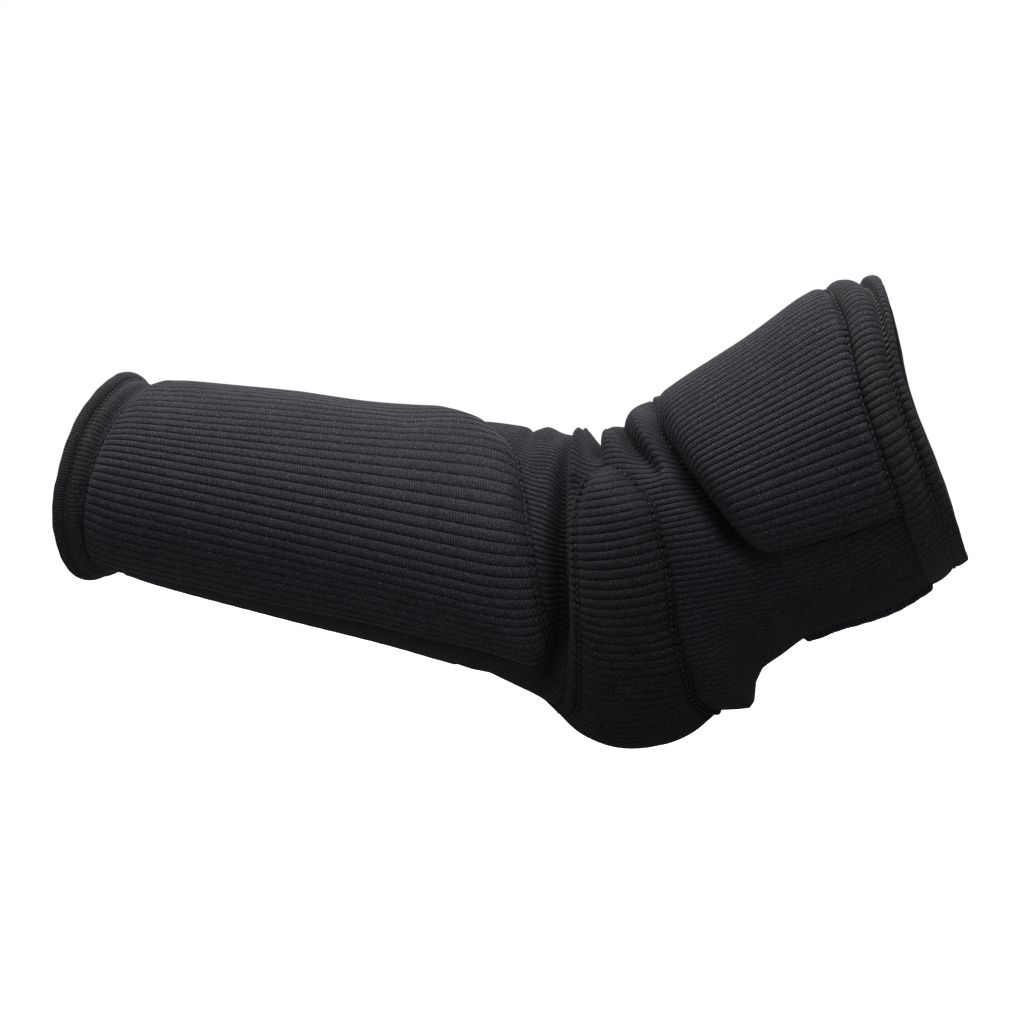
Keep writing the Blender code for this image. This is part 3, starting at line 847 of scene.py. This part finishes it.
class Nodes:
    """A short way to build a material's node tree."""

    def __init__(self, name):
        self.material = bpy.data.materials.new(name)
        self.material.use_nodes = True
        self.tree = self.material.node_tree
        self.shader = self.tree.nodes["Principled BSDF"]

    def new(self, kind, **settings):
        node = self.tree.nodes.new(kind)
        for key, value in settings.items():
            setattr(node, key, value)
        return node

    def feed(self, socket, value):
        if isinstance(value, bpy.types.NodeSocket):
            self.tree.links.new(value, socket)
        else:
            socket.default_value = value

    def attribute(self, name):
        return self.new("ShaderNodeAttribute", attribute_name=name).outputs["Fac"]

    def math(self, operation, *values):
        node = self.new("ShaderNodeMath", operation=operation)
        for socket, value in zip(node.inputs, values):
            self.feed(socket, value)
        return node.outputs[0]

    def scaled(self, value, share):
        return self.math("MULTIPLY", value, share)

    def total(self, first, *others):
        for other in others:
            first = self.math("ADD", first, other)
        return first

    def position(self):
        return self.new("ShaderNodeTexCoord").outputs["Object"]

    def noise(self, scale, detail=2.0):
        node = self.new("ShaderNodeTexNoise")
        self.feed(node.inputs["Scale"], scale)
        self.feed(node.inputs["Detail"], detail)
        self.feed(node.inputs["Vector"], self.position())
        return node.outputs["Fac"]

    def mix(self, factor, first, second):
        node = self.new("ShaderNodeMix", data_type="RGBA")
        self.feed(node.inputs["Factor"], factor)
        self.feed(node.inputs[6], first)
        self.feed(node.inputs[7], second)
        return node.outputs[2]

    def ramp(self, value, low, high):
        node = self.new("ShaderNodeMapRange", interpolation_type="SMOOTHSTEP")
        self.feed(node.inputs["Value"], value)
        self.feed(node.inputs["From Min"], low)
        self.feed(node.inputs["From Max"], high)
        return node.outputs["Result"]

    def surface(self, **inputs):
        """Values of the shader's inputs, named with underscores for spaces."""
        for key, value in inputs.items():
            self.feed(self.shader.inputs[key.replace("_", " ")], value)

    def bump(self, height, strength, distance):
        node = self.new("ShaderNodeBump")
        self.feed(node.inputs["Strength"], strength)
        self.feed(node.inputs["Distance"], distance)
        self.feed(node.inputs["Height"], height)
        return node.outputs["Normal"]


def opaque(colour, share=1.0):
    """A colour made lighter or darker by a share, with full alpha."""
    return tuple(min(1.0, c * share) for c in colour) + (1.0,)


WHITE = (1.0, 1.0, 1.0)
LINT = (0.17, 0.17, 0.185)
SHEEN_TINT = (0.75, 0.76, 0.82)


def knit_material(name, colour, groove_shade, loop, sheen, fluff):
    """Rib knit: stitches in chevrons along each rib, grooves darkened as painted shade, lint and a
    soft sheen. Folds and seams get painted shade too, and lose their sheen. A loop is the length
    of a stitch in millimetres."""
    n = Nodes(name)
    along, across, groove, painted_shade = (n.attribute(key)
                                     for key in ("along", "across", "groove", "painted_shade"))
    chevron = n.total(n.math("DIVIDE", along, loop), n.scaled(across, 0.55))
    stitch = n.math("SINE", n.scaled(chevron, 2.0 * math.pi))
    fibre, blotch = n.noise(2600.0, 3.0), n.noise(90.0)
    lint = n.ramp(n.noise(2300.0, 1.0), 0.59, 0.71)
    tone = n.total(n.scaled(stitch, 0.09), n.scaled(fibre, 0.95), n.scaled(blotch, 0.12))
    speckled = n.mix(n.ramp(tone, 0.34, 0.76), opaque(colour, 0.25), opaque(colour, 2.4))
    # painted shade: the grooves between ribs are darkened to a share of the colour
    base = n.mix(n.ramp(groove, 0.15, 1.0), opaque(colour), opaque(colour, groove_shade))
    body = n.mix(n.ramp(groove, 0.1, 0.9), speckled, base)
    body = n.mix(n.scaled(lint, fluff), body, opaque(LINT))
    # painted shade: folds and seams are darkened towards 0.12 of the colour, and lose their sheen
    body = n.mix(n.scaled(painted_shade, 0.8), body, opaque(colour, 0.12))
    height = n.total(n.scaled(stitch, 0.32), n.scaled(fibre, 1.4))
    n.surface(Base_Color=body, Roughness=n.total(n.scaled(fibre, 0.2), 0.72),
              Specular_IOR_Level=0.25, Sheen_Roughness=0.45, Sheen_Tint=opaque(SHEEN_TINT),
              Sheen_Weight=n.scaled(n.math("SUBTRACT", 1.0, painted_shade), sheen),
              Normal=n.bump(height, 0.55, 0.16 * MM))
    return n.material


def thread_material(name, colour):
    n = Nodes(name)
    twist = n.noise(3200.0)
    n.surface(Base_Color=n.mix(twist, opaque(colour, 0.6), opaque(colour, 1.5)),
              Roughness=n.total(n.scaled(twist, 0.2), 0.42), Sheen_Weight=0.3,
              Normal=n.bump(twist, 0.4, 0.08 * MM))
    return n.material


# ---------------- assembly

def side_point(s, phi):
    """Where a place of the sleeve is, seen square from the side."""
    return place([s], [phi], [0.0])[0] * (1.0, 0.0, 1.0)


def bend_zone(inner_top, inner_bottom, length, towards):
    """Start and end of a stretch of cloth that bends, square to the line of a pad's edge."""
    top, bottom = side_point(*inner_top), side_point(*inner_bottom)
    edge = top - bottom
    out = unit(np.array([edge[2], 0.0, -edge[0]])) * towards
    start = (top + bottom) / 2.0
    return {"start": tuple(start), "end": tuple(start + out * length * MM)}


# The stretches that bend, on both sides of the elbow pad: its edge at the crook and at the elbow
# point as (s, phi), the length of the stretch, and whether it runs up (1) or down (-1) the arm.
ZONES = {
    "forearm": bend_zone((9.0, 60.0), (-26.0, -90.0), 46.0, -1.0),
    "upper_arm": bend_zone((32.0, 80.0), (25.0, -90.0), 42.0, 1.0),
}


def finish_piece(obj, material, slot, body, *nodes):
    """Give a piece its material and hide the frame's nodes it stands in for. A piece of the forearm
    or the upper arm only has its place baked into its mesh; any other hangs on its body.
    """
    obj.data.materials.append(material)
    if body in ZONES:
        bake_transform(obj)
    else:
        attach(obj, body)
    if nodes:
        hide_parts(*nodes)


def dress_knit(knit, inner_knit):
    forearm, upper = add_plain_knit()
    finish_piece(forearm, knit, "sleeve_knit", "forearm", "forearm_sleeve", "elbow_stretch_knit")
    finish_piece(upper, knit, "sleeve_knit", "upper_arm", "upper_sleeve", "elbow_stretch_knit")
    for body, start, end in (("forearm", -216.0, MEETING), ("upper_arm", MEETING, 138.0)):
        finish_piece(lining_length(f"{body}_inner_face", start, end), inner_knit, "sleeve_knit",
                     body)


def dress_pad(pad, cover_knit, thread):
    swell = swelling(pad)
    finish_piece(pad_cover(pad, swell), cover_knit, "cover_knit", pad.name,
                 f"{pad.name}_pad_cover", f"{pad.name}_pad_foam")
    row = stitches(f"{pad.name}_pad_stitches", *path_of(*pad_path(pad, swell)),
                   length=1.7 * MM, gap=0.9 * MM, radius=0.2 * MM)
    finish_piece(row, thread, "thread", pad.name, f"{pad.name}_pad_stitching")


def dress_cuffs(cuff_knit, wrist_thread, upper_thread):
    wrist, rim, upper = add_cuffs()
    finish_piece(wrist, cuff_knit, "cuff_knit", "forearm", "wrist_hem", "wrist_elastic")
    finish_piece(rim, cuff_knit, "cuff_knit", "forearm", "wrist_binding")
    finish_piece(upper, cuff_knit, "cuff_knit", "upper_arm", "upper_hem", "upper_elastic")
    row = stitches("wrist_cuff_stitches", *ring_path(-214.6, 3.2),
                   length=1.2 * MM, gap=0.7 * MM, radius=0.3 * MM)
    finish_piece(row, wrist_thread, "thread", "forearm", "wrist_hem_stitching")
    row = stitches("upper_cuff_stitches", *ring_path(134.7, 1.4, full=True),
                   length=2.2 * MM, gap=0.3 * MM, radius=0.36 * MM, tilt=0.5 * MM)
    finish_piece(row, upper_thread, "thread", "upper_arm", "upper_hem_stitching")


def dress_seam(name, body, start, end, crest, node, knit, thread):
    roll, threads = add_seam(name, start, end, crest)
    finish_piece(roll, knit, "thread", body, node)
    finish_piece(threads, thread, "thread", body)


def build_sleeve():
    knit = knit_material("charcoal_rib_knit", (0.0152, 0.0152, 0.0208), groove_shade=0.15,
                         loop=1.1, sheen=0.05, fluff=0.36)
    pad_knit = knit_material("charcoal_pad_knit", (0.0192, 0.0193, 0.0256), groove_shade=0.13,
                             loop=1.07, sheen=0.06, fluff=0.6)
    # painted shade: the elbow pad takes a darker copy of the pad knit, standing in for the shade on
    # its cover
    shaded_pad_knit = knit_material("black_pad_knit", (0.0108, 0.0109, 0.0150), groove_shade=0.12,
                                  loop=1.07, sheen=0.035, fluff=0.4)
    cuff_knit = knit_material("charcoal_cuff_knit", (0.0220, 0.0214, 0.0256), groove_shade=0.2,
                              loop=1.0, sheen=0.06, fluff=0.5)
    inner_knit = knit_material("inner_knit", (0.010, 0.010, 0.012), groove_shade=0.5,
                               loop=1.3, sheen=0.02, fluff=0.3)
    thread = thread_material("polyester_thread", (0.026, 0.026, 0.033))
    dark_thread = thread_material("dark_thread", (0.016, 0.016, 0.020))

    dress_knit(knit, inner_knit)
    # the upper pad's stitches take the darker thread as painted shade, sunk in the shadow along its
    # edges
    looks = {"forearm": (pad_knit, thread), "elbow": (shaded_pad_knit, thread),
             "upper_arm": (pad_knit, dark_thread)}
    for pad in PADS:
        dress_pad(pad, *looks[pad.name])
    dress_cuffs(cuff_knit, dark_thread, thread)
    dress_seam("forearm_overlock", "forearm", -203.0, -50.0, 1.2, "forearm_seam", knit, thread)
    dress_seam("upper_arm_overlock", "upper_arm", 58.0, 125.0, 2.8, "upper_seam", knit, thread)


# ---------------- stage

def aim_along(obj, direction):
    """Turn a lamp or a camera so that it looks in a direction."""
    obj.rotation_mode = "QUATERNION"
    obj.rotation_quaternion = Vector(direction).to_track_quat("-Z", "Y")


def area_light(name, location, size, power, colour):
    """A softbox aimed at the sleeve's middle."""
    data = bpy.data.lights.new(name, "AREA")
    data.shape = "RECTANGLE"
    data.size, data.size_y = size
    data.energy = power
    data.color = colour
    obj = bpy.data.objects.new(name, data)
    bpy.context.scene.collection.objects.link(obj)
    obj.location = location
    aim_along(obj, -np.array(location))


def stage_material():
    """Pale paper that glows a little to the camera and sends little light back to the sleeve."""
    n = Nodes("pale_paper")
    seen = n.new("ShaderNodeLightPath").outputs["Is Camera Ray"]
    paper = n.mix(n.noise(300.0), opaque(WHITE, 0.80), opaque(WHITE, 0.84))
    away = n.new("ShaderNodeVectorMath", operation="LENGTH")
    n.feed(away.inputs[0], n.position())
    glow = n.total(n.scaled(n.ramp(away.outputs["Value"], 0.3, 1.2), 0.22), 0.82)
    n.surface(Base_Color=n.mix(seen, opaque(WHITE, 0.16), paper), Roughness=0.9,
              Specular_IOR_Level=0.1, Emission_Color=opaque(WHITE),
              Emission_Strength=n.scaled(seen, glow))
    return n.material


def pale_world():
    """White to the camera, but only a weak light on the sleeve."""
    world = bpy.data.worlds.new("studio")
    world.use_nodes = True
    tree = world.node_tree
    background = tree.nodes["Background"]
    background.inputs["Color"].default_value = opaque(WHITE)
    path = tree.nodes.new("ShaderNodeLightPath")
    strength = tree.nodes.new("ShaderNodeMapRange")
    strength.inputs["To Min"].default_value = 0.12
    strength.inputs["To Max"].default_value = 1.0
    tree.links.new(path.outputs["Is Camera Ray"], strength.inputs["Value"])
    tree.links.new(strength.outputs["Result"], background.inputs["Strength"])
    bpy.context.scene.world = world


FLOOR_GAP = 62.0  # millimetres under the sleeve, so that the straightened pose clears it
FLOOR_REACH = 8.0  # metres from the middle to each side of the floor


def build_stage(lo):
    """A pale floor under the sleeve, a softbox overhead, and a weak light on each side."""
    reach = np.array([-FLOOR_REACH, FLOOR_REACH])
    points = np.stack(np.broadcast_arrays(reach[None, :], reach[:, None], lo[2] - FLOOR_GAP * MM),
                      axis=-1)
    sheet = grid_object("pale_floor", points, False, {})
    sheet.data.materials.append(stage_material())
    area_light("key_softbox", (-0.2, -0.25, 1.3), (1.6, 0.8), 27.0, WHITE)
    area_light("front_fill", (0.2, -1.6, 0.9), (1.4, 0.8), 5.0, (0.95, 0.97, 1.0))
    area_light("back_fill", (0.0, 1.5, 1.1), (1.6, 0.8), 14.0, (0.97, 0.98, 1.0))
    pale_world()


CAMERA_AZIMUTH = 15.0  # degrees round from straight in front, towards the upper arm
CAMERA_ELEVATION = 3.0
CAMERA_DISTANCE = 0.7577  # metres from the point it looks at
CAMERA_AIM = (4.3, 0.5, -2.2)  # that point, in millimetres from the middle of the frame's box


def build_camera(lo, hi):
    azimuth, elevation = math.radians(CAMERA_AZIMUTH), math.radians(CAMERA_ELEVATION)
    ahead = np.array([-math.sin(azimuth) * math.cos(elevation),
                      math.cos(azimuth) * math.cos(elevation), -math.sin(elevation)])
    aim = (np.array(lo) + np.array(hi)) / 2.0 + np.array(CAMERA_AIM) * MM
    data = bpy.data.cameras.new("camera")
    data.lens, data.sensor_width = 65.9, 36.0
    data.clip_start, data.clip_end = 0.01, 20.0
    obj = bpy.data.objects.new("camera", data)
    bpy.context.scene.collection.objects.link(obj)
    obj.location = aim - ahead * CAMERA_DISTANCE
    aim_along(obj, ahead)
    bpy.context.scene.camera = obj


build_sleeve()
build_stage(CAD_BOX[0])
build_camera(*CAD_BOX)
bpy.context.scene.view_settings.view_transform = "Standard"
